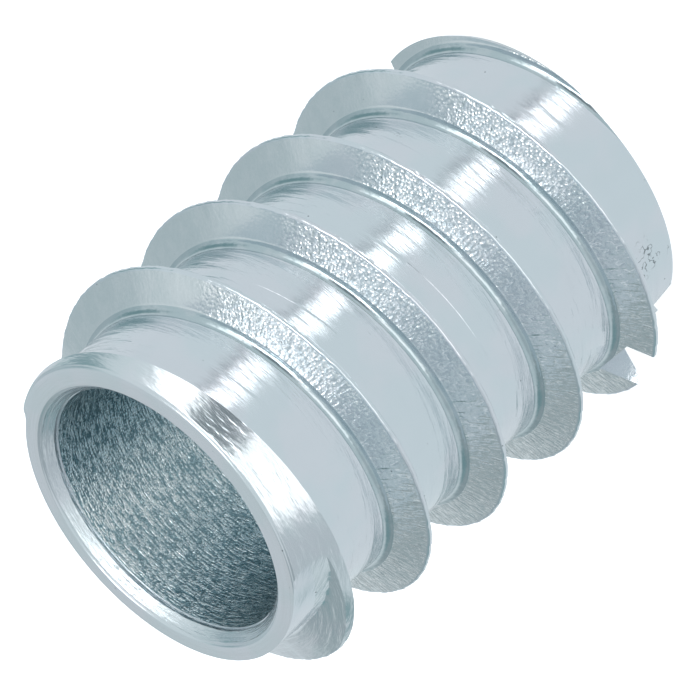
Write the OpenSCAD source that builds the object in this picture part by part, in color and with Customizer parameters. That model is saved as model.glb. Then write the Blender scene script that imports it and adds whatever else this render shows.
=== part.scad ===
// Threaded insert: a short steel bush with a coarse right-hand wood thread outside, a plain
// bore inside, a chamfered mouth and two cutting flutes milled through the last turn.
// Stands on its leading (fluted) end at z = 0; the mouth is up at z = body_l. Millimetres.

/* [Body] */
// Overall length along the axis
body_l = 20.2; // [16:0.1:40]
// Diameter of the plain body between the thread ridges
core_d = 12; // [11.6:0.1:12.4]
// Diameter of the through bore
bore_d = 10; // [6:0.1:10.4]

/* [Mouth] */
// Diameter of the inner chamfer where it meets the mouth face
mouth_d = 10.9; // [10.6:0.1:11.2]
// Diameter of the narrow step between the chamfer and the bore wall
step_d = 10.1; // [10.06:0.02:10.4]
// Depth of that step below the mouth face
step_depth = 0.55; // [0.45:0.05:1]
// Size of the broken inner edge at the leading end
foot_break = 0.2; // [0.1:0.05:0.4]

/* [Outer thread] */
// Diameter over the thread crests
crest_d = 15; // [14:0.1:17]
// Distance from one ridge to the next
pitch = 4; // [3.4:0.1:6]
// Width of the flat on the crest
crest_w = 0.14; // [0.08:0.02:0.4]
// Axial run of the flank that faces the mouth
near_run = 0.46; // [0.3:0.02:1]
// Axial run of the flank that faces the leading end
far_run = 0.24; // [0.1:0.02:1]
// Height of the bevel at the foot of the flank that faces the mouth
root_h = 0.28; // [0.1:0.02:0.5]
// Axial run of that bevel
root_run = 0.25; // [0.1:0.02:0.5]
// Direction, in degrees round the axis, in which the crest meets the mouth face
crest_start = 354.6; // [330:0.1:380]

/* [End chamfers] */
// Diameter of the outer chamfer where it meets either end face
end_d = 12.4; // [12.3:0.1:13]
// Radius gained per millimetre along the chamfer
end_slope = 0.68; // [0.4:0.02:1]

/* [Mouth collar] */
// Direction in which the collar between the mouth and the first turn rises out of the body
collar_from = 178; // [170:1:200]
// Direction from which on it fills the chamfer's cone
collar_full = 237; // [220:1:260]
// Height of the full collar over the body at the mouth face, before the chamfer trims it
collar_h = 0.25; // [0.22:0.01:0.4]
// Its height gained per millimetre down from the mouth face
collar_slope = 0.7; // [0.68:0.01:0.8]

/* [Cutting flutes] */
// Distance of the flat flute floor from the axis at the leading end
flute_floor = 5.6; // [5.5:0.01:5.9]
// Distance by which the floor runs out from the axis per millimetre of height
flute_rise = 0.21; // [0:0.01:0.3]
// Angle round the axis from the first flute to the second
flute_angle = 185; // [150:1:210]
// Height at which the flute starts, just above the ridge it cuts
flute_top = 3.15; // [2.6:0.05:3.6]
// Height at which the slanting flute walls end
flute_knee = 2; // [1.4:0.1:2.4]
// Position of the tooth wall across the flute at its upper end
tooth_x = -1; // [-2:0.1:0]
// Position of the tooth wall where the slant ends
tooth_knee_x = 0.4; // [0:0.1:1]
// Position of the opposite wall at its upper end
stub_x = 1.84; // [1.4:0.02:2.4]
// Position of the opposite wall where the slant ends
stub_knee_x = 2.73; // [2.4:0.01:3]

/* [Hidden] */
$fn = 96;
core_r = core_d / 2;
crest_r = crest_d / 2;
end_r = end_d / 2;
overrun = 1;                               // how far a cutter passes the face it cuts
buried = 0.3;                              // depth to which the ridge is sunk in the body
facets = 40;                               // straight pieces per turn of the ridge
turns_over = 0.35;                         // part of a turn run on past the mouth face
mouth_chamfer = (mouth_d - step_d) / 2;    // depth of the 45 degree inner chamfer

// Ridge section, as [axial offset from the crest centre, radius], from the mouth side down
section = [
    [crest_w / 2 + near_run + root_run * (1 + buried / root_h), core_r - buried],
    [crest_w / 2 + near_run, core_r + root_h],
    [crest_w / 2, crest_r],
    [-crest_w / 2, crest_r],
    [-crest_w / 2 - far_run * (1 + buried / (crest_r - core_r)), core_r - buried]];

steps = ceil((body_l / pitch + turns_over + 0.4) * facets);

// Helical ridge: the section repeated round a falling right-hand helix
module ridge() {
    m = len(section);
    points = [for (i = [0:steps], p = section)
        let (turn = turns_over - i / facets, a = crest_start + 360 * turn)
        [p[1] * cos(a), p[1] * sin(a), body_l + pitch * turn + p[0]]];
    sides = [for (i = [0:steps - 1], j = [0:m - 1], half = [0, 1])
        let (k = (j + 1) % m, a = i * m, b = a + m)
        half == 0 ? [a + j, a + k, b + j] : [a + k, b + k, b + j]];
    first = [for (j = [1:m - 2]) [0, j + 1, j]];
    last = [for (j = [1:m - 2]) [steps * m, steps * m + j, steps * m + j + 1]];
    polyhedron(points, concat(sides, first, last));
}

// Collar between the mouth face and the first turn: a cone that dies away as the turn leaves the
// mouth. Each section runs from inside the ridge's flank to past the mouth face.
module collar() {
    sunk = 0.25;                           // depth to which its inner side is sunk in the body
    lift = 0.2;                            // how far above the crest's middle it starts
    span = [for (i = [2:19]) i];           // steps of the ridge from the mouth that it covers
    points = [for (i = span)
        let (a = crest_start - 360 * i / facets, low = body_l - pitch * i / facets + lift,
             high = body_l + overrun, s = max(0, min(1, (a - collar_from) / (collar_full - collar_from))),
             rise = s * s * (3 - 2 * s), foot = core_r - 0.02)
        for (p = [[core_r - sunk, low],
                  [foot + rise * (collar_h + 0.02 + collar_slope * (body_l - low)), low],
                  [foot + rise * (collar_h + 0.02 - collar_slope * overrun), high],
                  [core_r - 2 * sunk - collar_slope * overrun / 3, high]])
            [p[0] * cos(a), p[0] * sin(a), p[1]]];
    m = 4;
    n = len(span);
    sides = [for (i = [0:n - 2], j = [0:m - 1], half = [0, 1])
        let (k = (j + 1) % m, a = i * m, b = a + m)
        half == 0 ? [a + j, b + j, a + k] : [a + k, b + j, b + k]];
    polyhedron(points, concat(sides, [[0, 1, 2], [0, 2, 3]],
                              [for (f = [[2, 1, 0], [3, 2, 0]]) [for (v = f) v + (n - 1) * m]]));
}

// What the end chamfers leave of the ridge: two cones and a waist well clear of the crests
module envelope() {
    rim_r = crest_r + overrun;
    rim_l = (rim_r - end_r) / end_slope;
    rotate_extrude()
        polygon([[0, 0], [end_r, 0], [rim_r, rim_l], [rim_r, body_l - rim_l],
                 [end_r, body_l], [0, body_l]]);
}

// Through bore with the chamfered mouth, the narrow step and the broken leading edge
module bore() {
    bore_r = bore_d / 2;
    step_r = step_d / 2;
    mouth_r = mouth_d / 2;
    rotate_extrude()
        polygon([[0, -overrun], [bore_r + foot_break, -overrun], [bore_r + foot_break, 0],
                 [bore_r, foot_break], [bore_r, body_l - step_depth],
                 [step_r, body_l - step_depth], [step_r, body_l - mouth_chamfer],
                 [mouth_r, body_l], [mouth_r, body_l + overrun], [0, body_l + overrun]]);
}

// Cutting flute on the -X side: its flat floor runs out of the body towards the top, and its
// walls stand straight at the leading end and slant over as they cross the ridge
module flute() {
    outline = [[tooth_x, flute_top], [stub_x, flute_top], [stub_knee_x, flute_knee],
               [stub_knee_x, -overrun], [tooth_knee_x, -overrun], [tooth_knee_x, flute_knee]];
    m = len(outline);
    floor_side = [for (p = outline) [-flute_floor - flute_rise * p[1], -p[0], p[1]]];
    open_side = [for (p = outline) [-flute_floor - crest_r, -p[0], p[1]]];
    walls = [for (i = [0:m - 1]) let (k = (i + 1) % m) [i, k, m + k, m + i]];
    polyhedron(concat(floor_side, open_side),
               concat([[for (i = [0:m - 1]) m - 1 - i], [for (i = [0:m - 1]) m + i]], walls));
}

// The whole insert: one turned and milled steel piece
module insert_body() {
    color([0.71, 0.75, 0.78])
        difference() {
            union() {
                cylinder(r = core_r, h = body_l);
                intersection() {
                    union() {
                        ridge();
                        collar();
                    }
                    envelope();
                }
            }
            bore();
            flute();
            rotate([0, 0, flute_angle]) flute();
        }
}

insert_body();
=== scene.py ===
"""Looks of a zinc-plated threaded insert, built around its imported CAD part.

The insert stands on its leading end at the origin, with its axis along +Z and the mouth up.
Sizes of the insert are in millimetres and become metres when a mesh is made from them. The
floor and the camera are placed in metres.
"""

import math

import bmesh
import bpy
import numpy as np
from mathutils import Matrix, Vector


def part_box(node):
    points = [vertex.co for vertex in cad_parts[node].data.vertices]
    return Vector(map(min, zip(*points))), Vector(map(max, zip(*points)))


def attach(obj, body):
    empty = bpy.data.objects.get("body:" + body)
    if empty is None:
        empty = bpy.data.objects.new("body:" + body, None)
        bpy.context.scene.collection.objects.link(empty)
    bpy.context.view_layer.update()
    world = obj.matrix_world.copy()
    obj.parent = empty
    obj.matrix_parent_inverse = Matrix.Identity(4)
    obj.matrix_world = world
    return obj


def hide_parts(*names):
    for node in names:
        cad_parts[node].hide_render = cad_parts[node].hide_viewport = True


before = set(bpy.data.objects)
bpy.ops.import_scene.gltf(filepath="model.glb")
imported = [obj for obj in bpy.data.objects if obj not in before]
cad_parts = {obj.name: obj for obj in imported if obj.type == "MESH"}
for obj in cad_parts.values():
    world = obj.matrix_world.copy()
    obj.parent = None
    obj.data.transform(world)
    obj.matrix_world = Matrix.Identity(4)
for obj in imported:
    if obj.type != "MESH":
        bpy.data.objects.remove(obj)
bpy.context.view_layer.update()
body_low, body_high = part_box("insert_body")

# ---------------------------------------------------------------------------------------
# Threaded barrel: the outside of the insert, a steel bush 12 mm over the body. One sharp
# right-hand ridge is rolled round it with a 4 mm pitch. The side that faces the mouth is a
# little sloped and orange-peeled by the rolls, the other side is almost square to the axis.
# ---------------------------------------------------------------------------------------
MM = 0.001
FULL_TURN = 2 * math.pi
COLUMNS = 360
BODY_LENGTH = (body_high.z - body_low.z) / MM
CREST_RADIUS = (body_high.x - body_low.x) / 2 / MM
CORE_RADIUS = 6.0
PITCH = 4.0
CREST_START = math.radians(354.6)

# Turns of the helix, from one well below the foot to one past the mouth, and the length past
# either end at which the solid under it is closed.
FIRST_TURN = -7
LAST_TURN = 2
SPARE_LENGTH = 1.5

# Height from which on the ridge is smooth, as the chamfers are.
SMOOTH_FLANK_FROM = 17.9

FINISH_BODY, FINISH_FLANK, FINISH_ROOT, FINISH_CHAMFER, FINISH_BORE, FINISH_CUT = range(6)

# Ridge section from its far root, over the crest, to its near root: distance towards the
# mouth from the middle of the crest, height over the body, and finish of the strip that follows.
RIDGE_SECTION = np.array([
    [-0.380, 0.000, FINISH_BODY],
    [-0.335, 0.012, FINISH_BODY],
    [-0.306, 0.070, FINISH_BODY],
    [-0.230, 0.500, FINISH_BODY],
    [-0.150, 1.000, FINISH_BODY],
    [-0.080, 1.440, FINISH_BODY],
    [-0.066, 1.480, FINISH_BODY],
    [-0.038, 1.498, FINISH_BODY],
    [0.035, 1.500, FINISH_BODY],
    [0.066, 1.487, FINISH_BODY],
    [0.091, 1.458, FINISH_BODY],
    [0.108, 1.405, FINISH_FLANK],
    [0.145, 1.300, FINISH_FLANK],
    [0.221, 1.100, FINISH_FLANK],
    [0.296, 0.900, FINISH_FLANK],
    [0.371, 0.700, FINISH_FLANK],
    [0.447, 0.500, FINISH_FLANK],
    [0.505, 0.345, FINISH_FLANK],
    [0.526, 0.285, FINISH_FLANK],
    [0.546, 0.262, FINISH_ROOT],
    [0.572, 0.190, FINISH_ROOT],
    [0.600, 0.135, FINISH_ROOT],
    [0.640, 0.084, FINISH_ROOT],
    [0.690, 0.042, FINISH_ROOT],
    [0.750, 0.014, FINISH_ROOT],
    [0.810, 0.004, FINISH_ROOT],
    [0.838, 0.010, FINISH_BODY],
    [0.862, 0.006, FINISH_BODY],
    [0.930, 0.000, FINISH_BODY],
])
RIDGE_HEIGHT = RIDGE_SECTION[:, 1].max()

# Strip of plain body between two ridges, as distances from the middle of the crest below it.
CORE_START = RIDGE_SECTION[-1, 0]
CORE_END = PITCH + RIDGE_SECTION[0, 0]
CORE_ROWS = 12

# Low waves along the body: length, share of the height, place where it starts, and how far,
# how fast and from where it sways on its way round.
CORE_WAVE_HEIGHT = 0.015
CORE_WAVES = [(1.65, 1.0, CORE_START, 0.6, 1.3, 0.0), (0.77, 0.35, 0.0, 1.1, 1.7, 2.0)]
CORE_WAVE_EASE = 0.2

# Line where two passes of the tool meet: place, width, depth, and how its depth comes and goes.
PASS_LINE = 2.20
PASS_WIDTH = 0.03
PASS_STEP = 0.016
PASS_RATE = 0.9
PASS_PHASE = 1.2

# Uneven crest: depth of its nibbles and how much of it lies inwards, and how far the crest
# wanders along the axis. Each has the rates of its waves and their phases.
NIBBLE_DEPTH = 0.022
NIBBLE_SINK = 0.4
NIBBLE_WAVES = ((41, 67, 103, 151), (0, 1, 2, 3))
WANDER_REACH = 0.012
WANDER_WAVES = ((5, 13, 29), (2, 0, 4))

# Collar between the mouth and the first turn: where round the axis it starts and is full, its
# height at the mouth face and its gain per millimetre below it, how far above the crest's middle
# it begins, how far past the mouth face it goes on narrowing, and how far past it ends.
COLLAR_FROM = math.radians(178)
COLLAR_FULL = math.radians(237)
COLLAR_HEIGHT = 0.25
COLLAR_SLOPE = 0.70
COLLAR_LIFT = 0.04
COLLAR_OVERRUN = 0.3
COLLAR_TOP = 0.5


def ripple(angle, counts, phases):
    """Uneven line round the axis: the mean of sine waves, each of a count of waves a turn."""
    waves = [np.sin(count * angle + phase) for count, phase in zip(counts, phases)]
    return sum(waves) / len(waves)


def put_mesh(name, points, loops, starts, finishes):
    """Object from points in millimetres and polygons given by their corners and their starts."""
    mesh = bpy.data.meshes.new(name)
    mesh.vertices.add(len(points))
    mesh.vertices.foreach_set("co", (points * MM).astype(np.float32).ravel())
    mesh.loops.add(len(loops))
    mesh.loops.foreach_set("vertex_index", loops.astype(np.int32))
    mesh.polygons.add(len(starts))
    mesh.polygons.foreach_set("loop_start", starts.astype(np.int32))
    mesh.polygons.foreach_set("material_index", finishes.astype(np.int32))
    mesh.update(calc_edges=True)
    mesh.validate()
    piece = bpy.data.objects.new(name, mesh)
    bpy.context.scene.collection.objects.link(piece)
    return piece


def polygons(corners, finishes):
    """Loops, starts and finishes of four-cornered polygons, less the corners that repeat."""
    left_point = corners[:, 0] == corners[:, 3]
    right_point = corners[:, 1] == corners[:, 2]
    whole = ~left_point & ~right_point
    cut = left_point ^ right_point
    quads = corners[whole]
    pointed = corners[cut]
    triangles = np.where(left_point[cut, None], pointed[:, [0, 1, 2]], pointed[:, [0, 1, 3]])
    loops = np.concatenate([quads.ravel(), triangles.ravel()])
    quad_starts = np.arange(len(quads)) * 4
    starts = np.concatenate([quad_starts, quads.size + np.arange(len(triangles)) * 3])
    return loops, starts, np.concatenate([finishes[whole], finishes[cut]])


def section_rows():
    """Offset, height and finish of the rows of one turn: the ridge, then the body above it."""
    core = np.linspace(CORE_START, CORE_END, CORE_ROWS)[1:-1]
    core = np.sort(np.append(core, [PASS_LINE, PASS_LINE + PASS_WIDTH]))
    offsets = np.concatenate([RIDGE_SECTION[:, 0], core])
    heights = np.concatenate([RIDGE_SECTION[:, 1], 0 * core])
    finishes = np.concatenate([RIDGE_SECTION[:, 2], FINISH_BODY + 0 * core]).astype(int)
    return offsets, heights, finishes


def waved_body(radius, offset, travel):
    """The radius plus low sine waves along the body, less the step beyond the pass line.

    Each wave sways by a sine of the travel round the axis. All die out next to the ridge.
    """
    wave = sum(share * np.sin((offset - start) * FULL_TURN / length + sway * np.sin(travel * rate + phase))
               for length, share, start, sway, rate, phase in CORE_WAVES)
    level = (np.clip((offset - CORE_START) / CORE_WAVE_EASE, 0, 1)
             * np.clip((CORE_END - offset) / CORE_WAVE_EASE, 0, 1))
    radius = radius + CORE_WAVE_HEIGHT * level * wave
    step = PASS_STEP * (0.5 + 0.5 * np.sin(travel * PASS_RATE + PASS_PHASE))
    return radius - step * (offset > PASS_LINE + PASS_WIDTH / 2) * level


def uneven_crest(radius, z, height, travel):
    """Radius and z plus a ripple of the travel each, times the height's share cubed and plain."""
    share = np.clip(height / (CREST_RADIUS - CORE_RADIUS), 0, 1)
    radius = radius + NIBBLE_DEPTH * share ** 3 * (ripple(travel, *NIBBLE_WAVES) - NIBBLE_SINK)
    return radius, z + WANDER_REACH * share * ripple(travel, *WANDER_WAVES)


def collared(radius, z, offset, along, angle):
    """The radius, but at least that of a cone that widens downwards from the mouth face.

    Over the first turn the cone stands over the body by its height plus its slope times the
    depth below the mouth face, times a smooth step of the angle from 0 to 1.
    """
    rise = np.clip((angle - COLLAR_FROM) / (COLLAR_FULL - COLLAR_FROM), 0, 1)[None, :]
    rise = rise ** 2 * (3 - 2 * rise) * (angle < CREST_START)[None, :]
    above = (offset > COLLAR_LIFT) & (along > -1) & (z < BODY_LENGTH + COLLAR_TOP)
    depth = np.maximum(BODY_LENGTH - z, -COLLAR_OVERRUN)
    cone = CORE_RADIUS + rise * (COLLAR_HEIGHT + COLLAR_SLOPE * depth)
    return np.where(above, np.maximum(radius, cone), radius)


def closed_helix(angle, radius, z, finish, per_turn):
    """Closed solid under the helical surface, whose last column meets the first a turn higher.

    Rows past the ends close on one ring a side, and each ring on a point of the axis.
    """
    low, high = -SPARE_LENGTH, BODY_LENGTH + SPARE_LENGTH
    rows = len(z)
    index = np.arange(rows * COLUMNS).reshape(rows, COLUMNS)
    bottom = rows * COLUMNS + np.arange(COLUMNS)
    top = bottom + COLUMNS
    index = np.where(z < low, bottom[None, :], np.where(z > high, top[None, :], index))
    seam = np.concatenate([index[per_turn:, :1], np.full((per_turn, 1), top[0])])
    index = np.concatenate([index, seam], axis=1)
    corners = np.stack([index[:-1, :-1], index[:-1, 1:], index[1:, 1:], index[1:, :-1]], axis=-1)
    strips = np.repeat(finish[:-1], COLUMNS)
    rolled = (strips == FINISH_FLANK) | (strips == FINISH_ROOT)
    strips = np.where(rolled & (z[:-1].ravel() > SMOOTH_FLANK_FROM), FINISH_CHAMFER, strips)
    loops, starts, finishes = polygons(corners.reshape(-1, 4), strips)

    around = np.concatenate([np.tile(angle, rows), angle, angle, [0, 0]])
    core = np.full(COLUMNS, CORE_RADIUS)
    out = np.concatenate([radius.ravel(), core, core, [0, 0]])
    up = np.concatenate([z.ravel(), core * 0 + low, core * 0 + high, [low, high]])
    points = np.stack([out * np.cos(around), out * np.sin(around), up], axis=1)
    low_fan = np.stack([np.roll(bottom, -1), bottom, np.full(COLUMNS, top[-1] + 1)], axis=1)
    high_fan = np.stack([top, np.roll(top, -1), np.full(COLUMNS, top[-1] + 2)], axis=1)
    fans = np.concatenate([low_fan, high_fan])
    starts = np.concatenate([starts, len(loops) + np.arange(len(fans)) * 3])
    loops = np.concatenate([loops, fans.ravel()])
    finishes = np.concatenate([finishes, np.full(len(fans), FINISH_BODY)])

    used, loops = np.unique(loops, return_inverse=True)
    return put_mesh("threaded_insert", points[used], loops, starts, finishes)


def threaded_barrel():
    """Solid under a helical surface that runs past both ends of the insert.

    Every row is a helix: z = length + pitch * (turn + angle from the crest's start) + offset in
    the section, and radius = body + section height, plus waves, nibbles and the collar.
    """
    offsets, heights, finishes = section_rows()
    turn = np.arange(FIRST_TURN, LAST_TURN + 1)
    angle = np.arange(COLUMNS) * FULL_TURN / COLUMNS
    along = np.repeat(turn, len(offsets))[:, None] + (angle[None, :] - CREST_START) / FULL_TURN
    travel = along * FULL_TURN
    offset = np.tile(offsets, len(turn))[:, None]
    height = np.tile(heights, len(turn))[:, None]
    z = BODY_LENGTH + PITCH * along + offset
    radius = CORE_RADIUS + height * (CREST_RADIUS - CORE_RADIUS) / RIDGE_HEIGHT
    radius = waved_body(radius, offset, travel)
    radius, z = uneven_crest(radius, z, height, travel)
    radius = collared(radius, z, offset, along, angle)
    return closed_helix(angle, radius, z, np.tile(finishes, len(turn)), len(offsets))


insert = threaded_barrel()

# ---------------------------------------------------------------------------------------
# Ends and bore: what the lathe leaves of the blank. A plain 10 mm bore with a narrow step and
# a bright inner chamfer at the mouth, flat end faces, and a chamfer outside at either end that
# slants across the ridge.
# ---------------------------------------------------------------------------------------
BORE_RADIUS = 5.0
MOUTH_RADIUS = 5.45
STEP_RADIUS = 5.05
STEP_DEPTH = 0.55
MOUTH_CHAMFER = MOUTH_RADIUS - STEP_RADIUS
FOOT_BREAK = 0.2
END_RADIUS = 6.2
END_SLOPE = 0.68
RIM_RADIUS = 8.5
RIM_HEIGHT = (RIM_RADIUS - END_RADIUS) / END_SLOPE

# Corners of the turned section in order: radius, height, size of the rounding, rows on the
# side that follows, and its finish.
TURNED_SECTION = [
    (MOUTH_RADIUS, BODY_LENGTH, 0.03, 3, FINISH_CHAMFER),
    (END_RADIUS, BODY_LENGTH, 0.05, 14, FINISH_CHAMFER),
    (RIM_RADIUS, BODY_LENGTH - RIM_HEIGHT, 0.0, 2, FINISH_BODY),
    (RIM_RADIUS, RIM_HEIGHT, 0.0, 14, FINISH_CHAMFER),
    (END_RADIUS, 0.0, 0.05, 3, FINISH_CHAMFER),
    (BORE_RADIUS + FOOT_BREAK, 0.0, 0.03, 2, FINISH_CHAMFER),
    (BORE_RADIUS, FOOT_BREAK, 0.03, 30, FINISH_BORE),
    (BORE_RADIUS, BODY_LENGTH - STEP_DEPTH, 0.01, 1, FINISH_CHAMFER),
    (STEP_RADIUS, BODY_LENGTH - STEP_DEPTH, 0.01, 1, FINISH_CHAMFER),
    (STEP_RADIUS, BODY_LENGTH - MOUTH_CHAMFER, 0.015, 4, FINISH_CHAMFER),
]
ROUND_STEPS = 4


def turned_ring():
    """Closed ring solid: the turned section with eased corners, carried round the axis.

    An eased corner is a quadratic curve between two points at the rounding's size from it. It
    has the finish of the side after it, or of the side before it where the bore wall follows.
    """
    corner = np.array([row[:2] for row in TURNED_SECTION])
    before = np.roll(corner, 1, axis=0) - corner
    after = np.roll(corner, -1, axis=0) - corner
    before /= np.linalg.norm(before, axis=1, keepdims=True)
    after /= np.linalg.norm(after, axis=1, keepdims=True)
    size = np.array([row[2] for row in TURNED_SECTION])[:, None]
    enter, leave = corner + before * size, corner + after * size
    section, finishes = [], []
    for i, (_, _, rounding, rows, finish) in enumerate(TURNED_SECTION):
        if rounding > 0:
            t = np.linspace(0, 1, ROUND_STEPS + 1)[:-1, None]
            section.append((1 - t) ** 2 * enter[i] + 2 * t * (1 - t) * corner[i] + t ** 2 * leave[i])
            eased = TURNED_SECTION[i - 1][-1] if finish == FINISH_BORE else finish
            finishes.append(np.full(ROUND_STEPS, eased))
        t = np.linspace(0, 1, rows + 1)[:-1, None]
        section.append(leave[i] + t * (enter[(i + 1) % len(corner)] - leave[i]))
        finishes.append(np.full(rows, finish))
    section = np.concatenate(section)
    finishes = np.concatenate(finishes)
    angle = np.arange(COLUMNS) * FULL_TURN / COLUMNS
    rows = len(section)
    radius = section[:, :1] + 0 * angle[None, :]
    z = section[:, 1:] + 0 * angle[None, :]
    points = np.stack([radius * np.cos(angle), radius * np.sin(angle), z], axis=-1).reshape(-1, 3)
    index = np.arange(rows * COLUMNS).reshape(rows, COLUMNS)
    down, across = np.roll(index, -1, axis=0), np.roll(index, -1, axis=1)
    both = np.roll(down, -1, axis=1)
    corners = np.stack([index, down, both, across], axis=-1).reshape(-1, 4)
    loops = corners.ravel()
    starts = np.arange(len(corners)) * 4
    return put_mesh("turned_ring", points, loops, starts, np.repeat(finishes, COLUMNS))


ring = turned_ring()

# ---------------------------------------------------------------------------------------
# Cutting flutes: two slots milled across the last turn of the ridge, open at the leading end.
# Each has a floor that runs out of the body upwards, and leaves a sharp tooth that taps the
# timber.
# ---------------------------------------------------------------------------------------
FLUTE_FLOOR = 5.6
FLUTE_RISE = 0.21
FLUTE_TURNS = (0.0, math.radians(185))
FLUTE_OUTLINE = np.array([
    [-1.0, 3.15],
    [0.4, 2.0],
    [0.4, -1.0],
    [2.73, -1.0],
    [2.73, 2.0],
    [1.84, 3.15],
])

# Distance in metres under which two points of the machined mesh are made one.
MERGE_DISTANCE = 6e-7


def flute_cutter(turn):
    """Prism of the flute's outline, given as distance across and height, turned round the axis.

    The floor lies at its distance from the axis plus the rise times the height.
    """
    count = len(FLUTE_OUTLINE)
    across, height = -FLUTE_OUTLINE[:, 0], FLUTE_OUTLINE[:, 1]
    open_side = np.full(count, FLUTE_FLOOR + CREST_RADIUS)
    depth = np.concatenate([FLUTE_FLOOR + FLUTE_RISE * height, open_side])
    across, height = np.tile(across, 2), np.tile(height, 2)
    points = np.stack([-depth * math.cos(turn) - across * math.sin(turn),
                       -depth * math.sin(turn) + across * math.cos(turn), height], axis=1)
    step = np.arange(count)
    after = (step + 1) % count
    sides = np.stack([step, after, after + count, step + count], axis=1).ravel()
    loops = np.concatenate([sides, step[::-1], step + count])
    starts = np.concatenate([step * 4, [count * 4, count * 5]])
    return put_mesh("flute_cutter", points, loops, starts, np.full(count + 2, FINISH_CUT))


def machine(piece, tools):
    """Cuts the piece to what it shares with a tool, or takes the tool from it, one by one.

    Points closer together than the merge distance are then made one, and what has more than
    three corners is split into triangles.
    """
    for tool, operation in tools:
        cut = piece.modifiers.new(tool.name, "BOOLEAN")
        cut.object = tool
        cut.operation = operation
        cut.solver = "EXACT"
    bpy.context.view_layer.update()
    depsgraph = bpy.context.evaluated_depsgraph_get()
    mesh = bpy.data.meshes.new_from_object(piece.evaluated_get(depsgraph))
    piece.modifiers.clear()
    piece.data = mesh
    shape = bmesh.new()
    shape.from_mesh(mesh)
    bmesh.ops.remove_doubles(shape, verts=shape.verts, dist=MERGE_DISTANCE)
    bmesh.ops.dissolve_degenerate(shape, dist=MERGE_DISTANCE, edges=shape.edges)
    bmesh.ops.triangulate(shape, faces=[face for face in shape.faces if len(face.verts) > 3])
    bmesh.ops.dissolve_degenerate(shape, dist=MERGE_DISTANCE, edges=shape.edges)
    shape.to_mesh(mesh)
    shape.free()
    for tool, _ in tools:
        bpy.data.objects.remove(tool)


flutes = [(flute_cutter(turn), "DIFFERENCE") for turn in FLUTE_TURNS]
machine(insert, [(ring, "INTERSECT")] + flutes)

# ---------------------------------------------------------------------------------------
# Zinc plating: a thin blue-white coat over the steel, so each surface keeps what the tool
# under it left: turning lines on the body and chamfers, orange peel on the rolled flanks,
# granular chatter in the bore, and a bright milled flute.
# ---------------------------------------------------------------------------------------
SHARP_ANGLE = math.radians(30)

# Colours of the coat. Each finish drifts between two, and the bore's marks between two pairs, a dark one
# of painted shade and a near-white one of painted glints.
BODY_COLOURS = ((0.70, 0.76, 0.80), (0.735, 0.765, 0.81))
FLANK_COLOURS = ((0.69, 0.745, 0.765), (0.72, 0.765, 0.785))
# The root's pair is darker than the body's: painted shade in the crease at the foot of the ridge.
ROOT_SHADE_COLOURS = ((0.50, 0.59, 0.62), (0.56, 0.63, 0.66))
CHAMFER_COLOURS = ((0.70, 0.76, 0.79), (0.74, 0.77, 0.81))
BORE_SHADED_COLOURS = ((0.20, 0.34, 0.39), (0.42, 0.56, 0.60))
BORE_LIT_COLOURS = ((0.80, 0.93, 0.98), (0.98, 1.0, 1.0))
CUT_COLOURS = ((0.73, 0.77, 0.80), (0.76, 0.79, 0.82))
SPECK_COLOUR = (0.22, 0.25, 0.27)
MARK_COLOUR = (0.27, 0.30, 0.32)
# White painted into the flank's cell middles and creases as glints.
GLINT_WHITE = (1.0, 1.0, 1.0)

# Heights of the marks, in millimetres over the whole range of their noise.
BODY_LINES = 0.017
BODY_WAVES = 0.050
PEEL_CELLS = 0.052
PEEL_WRINKLES = 0.095
ROOT_GROOVES = 0.020
CHAMFER_LINES = 0.042
CHAMFER_WAVES = 0.055
BORE_MARKS = 0.060
CUTTER_MARKS = 0.010

# Dark marks left on the body: middle, reach and fineness of the broken lines.
BODY_MARKS = [((-4.45, -4.02, 1.35), 0.85, 3.0), ((4.53, -3.93, 5.45), 0.22, 7.0)]
MARK_RAGGEDNESS = 3.0

# Middle of any noise, and the radius at which grains along the ridge have their stated scale.
NOISE_MIDDLE = 0.5
GRAIN_RADIUS = 7.0


def add(tree, kind, sockets=None, **settings):
    """New shader node of this kind, its settings and its sockets set or linked by name."""
    node = tree.nodes.new("ShaderNode" + kind)
    for name, value in settings.items():
        setattr(node, name, value)
    for name, value in (sockets or {}).items():
        if isinstance(value, bpy.types.NodeSocket):
            tree.links.new(value, node.inputs[name])
        else:
            node.inputs[name].default_value = value
    return node


def arithmetic(tree, operation, *values):
    """Result of one arithmetic step on numbers and sockets."""
    return add(tree, "Math", dict(enumerate(values)), operation=operation).outputs[0]


def total(tree, first, second):
    """Sum of two numbers or sockets."""
    return arithmetic(tree, "ADD", first, second)


def product(tree, first, *others):
    """Product of numbers and sockets, taken in their order."""
    for value in others:
        first = arithmetic(tree, "MULTIPLY", first, value)
    return first


def ramp(tree, value, low, high, out_low=0.0, out_high=1.0):
    """Smooth rise from out_low to out_high while the value goes from low to high."""
    node = add(tree, "MapRange", {"Value": value, "From Min": low, "From Max": high,
                                  "To Min": out_low, "To Max": out_high})
    node.interpolation_type = "SMOOTHSTEP"
    return node.outputs["Result"]


def blend(tree, share, first, second):
    """Colour between the first and the second, each three numbers or a socket."""
    mix = add(tree, "Mix", {"Factor": share}, data_type="RGBA")
    for name, colour in (("A", first), ("B", second)):
        if isinstance(colour, bpy.types.NodeSocket):
            tree.links.new(colour, mix.inputs[name])
        else:
            mix.inputs[name].default_value = (*colour, 1)
    return mix.outputs["Result"]


def start_finish(name):
    """New material, its node tree, and the place on the surface in millimetres."""
    finish = bpy.data.materials.new(name)
    finish.use_nodes = True
    tree = finish.node_tree
    tree.nodes.clear()
    place = add(tree, "TexCoord").outputs["Object"]
    place = add(tree, "VectorMath", {0: place, "Scale": 1 / MM}, operation="SCALE").outputs[0]
    return finish, tree, place


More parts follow.
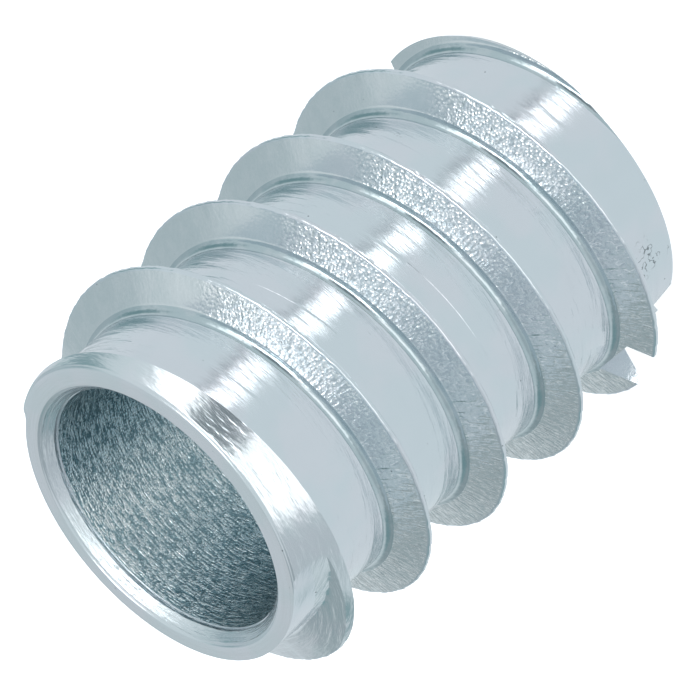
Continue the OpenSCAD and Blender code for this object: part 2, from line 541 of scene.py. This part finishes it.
def from_axis(tree, place):
    """Distance of the place from the axis: the root of x squared plus y squared."""
    axes = add(tree, "SeparateXYZ", {0: place}).outputs
    squares = [product(tree, axes[name], axes[name]) for name in ("X", "Y")]
    return arithmetic(tree, "SQRT", total(tree, *squares))


def towards_x(tree, place):
    """Cosine of the direction from the axis: 1 on the +X side, 0 in the middle, -1 on the -X side."""
    x = add(tree, "SeparateXYZ", {0: place}).outputs["X"]
    return arithmetic(tree, "DIVIDE", x, from_axis(tree, place))


def grain(tree, place, scale, detail, roughness=0.5, stretch=(1, 1, 1)):
    """Noise, from about 0.3 to 0.7, on the place stretched along each axis."""
    vector = add(tree, "VectorMath", {0: place, 1: stretch}, operation="MULTIPLY").outputs[0]
    return add(tree, "TexNoise", {"Vector": vector, "Scale": scale, "Detail": detail,
                                  "Roughness": roughness}).outputs["Fac"]


def turning_lines(tree, place, pitch, drift, detail):
    """Noise that changes fast along the axis and outwards, and by the drift per millimetre across it."""
    slow = add(tree, "VectorMath", {0: place, 1: (drift, drift, 0.0)}, operation="MULTIPLY").outputs[0]
    z = add(tree, "SeparateXYZ", {0: place}).outputs["Z"]
    level = product(tree, total(tree, z, from_axis(tree, place)), 1 / pitch)
    fast = add(tree, "CombineXYZ", {2: level}).outputs[0]
    vector = add(tree, "VectorMath", {0: slow, 1: fast}, operation="ADD").outputs[0]
    return add(tree, "TexNoise", {"Vector": vector, "Scale": 1.0, "Detail": detail,
                                  "Roughness": 0.6}).outputs["Fac"]


def along_ridge(tree, place, round_scale, out_scale, detail):
    """Noise on the direction from the axis and on the distance from it, each with its scale.

    At the grain radius the round scale is the number of grains to the millimetre.
    """
    flat = add(tree, "VectorMath", {0: place, 1: (1.0, 1.0, 0.0)}, operation="MULTIPLY").outputs[0]
    radius = from_axis(tree, place)
    size = arithmetic(tree, "DIVIDE", GRAIN_RADIUS * round_scale, radius)
    around = add(tree, "VectorMath", {0: flat, "Scale": size}, operation="SCALE").outputs[0]
    rise = add(tree, "CombineXYZ", {2: product(tree, radius, out_scale)}).outputs[0]
    vector = add(tree, "VectorMath", {0: around, 1: rise}, operation="ADD").outputs[0]
    return add(tree, "TexNoise", {"Vector": vector, "Scale": 1.0, "Detail": detail,
                                  "Roughness": 0.55}).outputs["Fac"]


def off_middle(tree, noise):
    """Distance of the noise from its middle, which is nothing along winding lines."""
    return arithmetic(tree, "ABSOLUTE", arithmetic(tree, "SUBTRACT", noise, NOISE_MIDDLE))


def specked(tree, place, colour, scale=1.2, size=0.05, stretch=(1, 1, 1)):
    """The colour with a few small dark specks, where a random point lies close to the surface."""
    vector = add(tree, "VectorMath", {0: place, 1: stretch}, operation="MULTIPLY").outputs[0]
    gap = add(tree, "TexVoronoi", {"Vector": vector, "Scale": scale}).outputs["Distance"]
    return blend(tree, ramp(tree, gap, size, 0.4 * size), colour, SPECK_COLOUR)


def marked(tree, place, colour, centre, size, fineness):
    """The colour with a ragged patch of dark broken lines round the centre."""
    gap = add(tree, "VectorMath", {0: place, 1: centre}, operation="DISTANCE").outputs["Value"]
    uneven = arithmetic(tree, "SUBTRACT", grain(tree, place, scale=2.2, detail=1.0), NOISE_MIDDLE)
    gap = total(tree, gap, product(tree, uneven, MARK_RAGGEDNESS, size))
    line = off_middle(tree, grain(tree, place, scale=fineness, detail=2.0))
    share = product(tree, ramp(tree, gap, size, 0.3 * size), ramp(tree, line, 0.045, 0.012))
    return blend(tree, share, colour, MARK_COLOUR)


def tinted(tree, place, colours, scale=0.35):
    """Colour that drifts in soft patches from the first to the second of the two."""
    drift = grain(tree, place, scale, detail=3.0)
    return blend(tree, ramp(tree, drift, 0.42, 0.6), *colours)


def close_finish(finish, tree, colour, roughness, height):
    """Ends the material in a metal shader whose bump is the height in millimetres."""
    bump = add(tree, "Bump", {"Height": height, "Distance": MM, "Strength": 1.0})
    metal = add(tree, "BsdfPrincipled", {"Base Color": colour, "Metallic": 1.0, "Roughness": roughness,
                                         "Normal": bump.outputs[0]})
    end = add(tree, "OutputMaterial")
    tree.links.new(metal.outputs[0], end.inputs["Surface"])
    return finish


def body_finish():
    """Smooth turned body: fine turning lines, a soft lavender drift, dark specks and two marks."""
    finish, tree, place = start_finish("turned_zinc")
    colour = specked(tree, place, tinted(tree, place, BODY_COLOURS))
    colour = specked(tree, place, colour, scale=0.7, size=0.03, stretch=(1.0, 0.9, 0.12))
    for centre, size, fineness in BODY_MARKS:
        colour = marked(tree, place, colour, centre, size, fineness)
    lines = turning_lines(tree, place, pitch=0.12, drift=0.8, detail=3.0)
    broad = turning_lines(tree, place, pitch=0.5, drift=0.3, detail=1.0)
    height = total(tree, product(tree, lines, BODY_LINES), product(tree, broad, BODY_WAVES))
    patches = grain(tree, place, scale=0.9, detail=4.0)
    roughness = ramp(tree, patches, 0.35, 0.65, out_low=0.11, out_high=0.2)
    return close_finish(finish, tree, colour, roughness, height)


def flank_finish():
    """Rolled flank: hammer-like cells whose middles are painted white as glints, short outward wrinkles
    with painted white glints along some creases, smooth at +X.
    """
    finish, tree, place = start_finish("orange_peel_zinc_painted_glints")
    side = towards_x(tree, place)
    away_from_plus_x = ramp(tree, side, 0.5, 0.75, out_low=1.0, out_high=0.05)
    peel_and_glints = product(tree, ramp(tree, side, -0.35, 0.1, out_low=0.22, out_high=1.0), away_from_plus_x)
    cells = add(tree, "TexVoronoi", {"Vector": place, "Scale": 9.0}, feature="SMOOTH_F1")
    cells = cells.outputs["Distance"]
    crease = off_middle(tree, along_ridge(tree, place, round_scale=4.6, out_scale=1.5, detail=1.0))
    height = total(tree, product(tree, cells, PEEL_CELLS, peel_and_glints),
                   product(tree, crease, PEEL_WRINKLES, away_from_plus_x))
    # Painted highlight: the middles of the peel cells are blended towards white as glints, most on the
    # side where the mask is full.
    share = product(tree, ramp(tree, cells, 0.55, 0.2), peel_and_glints)
    colour = blend(tree, share, tinted(tree, place, FLANK_COLOURS, scale=1.2), GLINT_WHITE)
    gate = ramp(tree, grain(tree, place, scale=3.0, detail=1.0), 0.42, 0.54)
    # Painted highlight: white glints painted along the crease lines where the gate noise lets them
    # through, fading towards +X.
    seam = product(tree, ramp(tree, crease, 0.03, 0.0), gate, away_from_plus_x)
    colour = specked(tree, place, blend(tree, seam, colour, GLINT_WHITE))
    roughness = ramp(tree, peel_and_glints, 0.0, 1.0, out_low=0.2, out_high=0.3)
    return close_finish(finish, tree, colour, roughness, height)


def root_finish():
    """Foot of the flank: the narrow smooth fillet between the body and the orange peel, in colours darker
    than the body's as painted shade in the crease.
    """
    finish, tree, place = start_finish("root_zinc_painted_shade")
    colour = tinted(tree, place, ROOT_SHADE_COLOURS, scale=1.2)
    grooves = along_ridge(tree, place, round_scale=1.6, out_scale=5.0, detail=2.0)
    return close_finish(finish, tree, colour, 0.19, product(tree, grooves, ROOT_GROOVES))


def chamfer_finish():
    """Turned ends: bright streaks round the chamfers, which calm down on the flat mouth face."""
    finish, tree, place = start_finish("faced_zinc")
    colour = specked(tree, place, tinted(tree, place, CHAMFER_COLOURS))
    lines = turning_lines(tree, place, pitch=0.10, drift=0.6, detail=3.0)
    broad = turning_lines(tree, place, pitch=0.4, drift=0.25, detail=1.0)
    height = total(tree, product(tree, lines, CHAMFER_LINES), product(tree, broad, CHAMFER_WAVES))
    z = add(tree, "SeparateXYZ", {0: place}).outputs["Z"]
    calm = ramp(tree, z, BODY_LENGTH - 0.12, BODY_LENGTH - 0.02, out_low=1.0, out_high=0.2)
    return close_finish(finish, tree, colour, 0.2, product(tree, height, calm))


def bore_finish():
    """Bore wall: granular, with short fine tool marks drawn out round the axis, painted in dark shaded and
    near-white lit colours, with painted shade darkest at +X.
    """
    finish, tree, place = start_finish("bored_zinc_painted_light")
    side = towards_x(tree, place)
    # Painted shade: the bore's colours go darkest on the +X side and half dark on the -X side.
    side_light = product(tree, ramp(tree, side, 0.8, 0.25), ramp(tree, side, -0.75, 0.05, 0.5, 1.0))
    marks = turning_lines(tree, place, pitch=0.068, drift=2.3, detail=2.0)
    grit = grain(tree, place, scale=14.0, detail=1.0, roughness=0.6)
    both = total(tree, marks, product(tree, grit, 0.6))
    dark = blend(tree, side_light, *BORE_SHADED_COLOURS)
    light = blend(tree, side_light, *BORE_LIT_COLOURS)
    # Painted light: the real marks and grit switch between the shaded dark colours and the lit near-white
    # ones, as shade and glints in the grain.
    colour = blend(tree, ramp(tree, both, 0.73, 0.87), dark, light)
    return close_finish(finish, tree, colour, 0.22, product(tree, both, BORE_MARKS))


def cut_finish():
    """Milled flute: bright, with straight cutter marks along Y."""
    finish, tree, place = start_finish("milled_zinc")
    colour = tinted(tree, place, CUT_COLOURS, scale=1.5)
    marks = grain(tree, place, scale=1.0, detail=2.0, stretch=(6.0, 0.8, 6.0))
    return close_finish(finish, tree, colour, 0.2, product(tree, marks, CUTTER_MARKS))


for make_finish in (body_finish, flank_finish, root_finish, chamfer_finish, bore_finish, cut_finish):
    insert.data.materials.append(make_finish())
insert.data.polygons.foreach_set("use_smooth", np.ones(len(insert.data.polygons), bool))
insert.data.set_sharp_from_angle(angle=SHARP_ANGLE)

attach(insert, "root")
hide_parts("insert_body")

# ---------------------------------------------------------------------------------------
# Studio: a plain white floor and a light tent of soft panels round the insert. The metal
# reflects the tent below the floor line too, as it would from a glossy white table.
# ---------------------------------------------------------------------------------------
FLOOR_SIZE = 1.2
FLOOR_COLOUR = (0.9, 0.9, 0.9, 1)
FLOOR_GLOW = 0.6
TENT_LEVEL = (0.73, 0.795, 0.82)

# Soft panels in the order in which they lie over each other: directions round the axis from
# -Y towards +X and above the horizon, both from and to in degrees, softness and brightness.
PANELS = [
    ("back left", -172, -112, 2, 62, 9, (0.375, 0.44, 0.46)),
    ("back right", 138, 168, 2, 48, 9, (0.49, 0.57, 0.60)),
    ("low side right", 104, 136, 4, 36, 8, (0.26, 0.39, 0.41)),
    ("low side left", -146, -116, 2, 26, 7, (0.26, 0.39, 0.41)),
    ("behind right", 166, 180, 6, 46, 6, (0.64, 0.70, 0.73)),
    ("behind left", -180, -166, 6, 46, 6, (0.60, 0.65, 0.67)),
    ("over the back", 140, 176, 64, 80, 4, (1.4, 1.4, 1.4)),
    ("camera shade", 2, 36, 16, 48, 5, (0.20, 0.24, 0.26)),
    ("key right", 40, 66, 14, 50, 5, (1.9, 1.9, 1.9)),
    ("left shade", -104, -56, 16, 46, 8, (0.54, 0.60, 0.63)),
    ("key left", -52, -3, 16, 46, 5, (1.6, 1.6, 1.6)),
    ("upper front", -10, 62, 52, 74, 5, (5.0, 5.0, 5.0)),
    ("shade beyond", 41, 48, -41, -19, 5, (0.44, 0.47, 0.50)),
    ("table shine", 24, 39, -36, -24, 3, (3.0, 3.0, 3.0)),
]


def light_tent():
    """World whose brightness is the tent level, replaced in each panel by the panel's own.

    The share of a panel is the product of a smooth step across each edge. Panels that meet
    straight behind the insert have no edge there.
    """
    world = bpy.data.worlds.new("light_tent")
    bpy.context.scene.world = world
    world.use_nodes = True
    tree = world.node_tree
    tree.nodes.clear()
    ray = add(tree, "SeparateXYZ", {0: add(tree, "TexCoord").outputs["Generated"]}).outputs
    around = arithmetic(tree, "ARCTAN2", ray["X"], product(tree, ray["Y"], -1.0))
    around = product(tree, around, math.degrees(1))
    rise = product(tree, arithmetic(tree, "ARCSINE", ray["Z"]), math.degrees(1))
    level = TENT_LEVEL
    for _, left, right, low, high, soft, colour in PANELS:
        edges = [(rise, low - soft, low + soft), (rise, high + soft, high - soft)]
        if right < 180:
            edges.insert(0, (around, right + soft, right - soft))
        if left > -180:
            edges.insert(0, (around, left - soft, left + soft))
        share = product(tree, *[ramp(tree, *edge) for edge in edges])
        level = blend(tree, share, level, colour)
    glow = add(tree, "Background", {"Strength": 1.0})
    tree.links.new(level, glow.inputs["Color"])
    tree.links.new(glow.outputs[0], add(tree, "OutputWorld").inputs["Surface"])


def white_floor():
    """Flat square under the insert, plain white from above and clear from below."""
    half = FLOOR_SIZE / 2
    mesh = bpy.data.meshes.new("floor")
    corners = [(-half, -half, 0), (half, -half, 0), (half, half, 0), (-half, half, 0)]
    mesh.from_pydata(corners, [], [(0, 1, 2, 3)])
    floor = bpy.data.objects.new("floor", mesh)
    bpy.context.scene.collection.objects.link(floor)
    finish = bpy.data.materials.new("floor_white")
    finish.use_nodes = True
    tree = finish.node_tree
    tree.nodes.clear()
    matt = add(tree, "BsdfPrincipled", {"Base Color": FLOOR_COLOUR, "Roughness": 0.8,
                                        "Emission Color": (1, 1, 1, 1), "Emission Strength": FLOOR_GLOW})
    clear = add(tree, "BsdfTransparent")
    under = add(tree, "NewGeometry").outputs["Backfacing"]
    both = add(tree, "MixShader", {0: under, 1: matt.outputs[0], 2: clear.outputs[0]})
    tree.links.new(both.outputs[0], add(tree, "OutputMaterial").inputs["Surface"])
    mesh.materials.append(finish)
    floor.visible_glossy = False


light_tent()
white_floor()
bpy.context.scene.view_settings.view_transform = "Standard"

# ---------------------------------------------------------------------------------------
# Camera: somewhat over half a metre off with a long lens, looking down on the mouth and rolled
# so that the mouth is at the lower left.
# ---------------------------------------------------------------------------------------
CAMERA_HEIGHT_ANGLE = math.radians(30.12)
CAMERA_ROLL = math.radians(-131.06)
CAMERA_PLACE = Vector((0.00008, -0.488138, 0.293342))
LENS = 847.8
SENSOR_WIDTH = 36
NEAREST = 0.01

camera = bpy.data.objects.new("camera", bpy.data.cameras.new("camera"))
camera.data.lens = LENS
camera.data.sensor_width = SENSOR_WIDTH
camera.data.clip_start = NEAREST
camera.matrix_world = (Matrix.Translation(CAMERA_PLACE)
                       @ Matrix.Rotation(math.pi / 2 - CAMERA_HEIGHT_ANGLE, 4, "X")
                       @ Matrix.Rotation(CAMERA_ROLL, 4, "Z"))
bpy.context.scene.collection.objects.link(camera)
bpy.context.scene.camera = camera
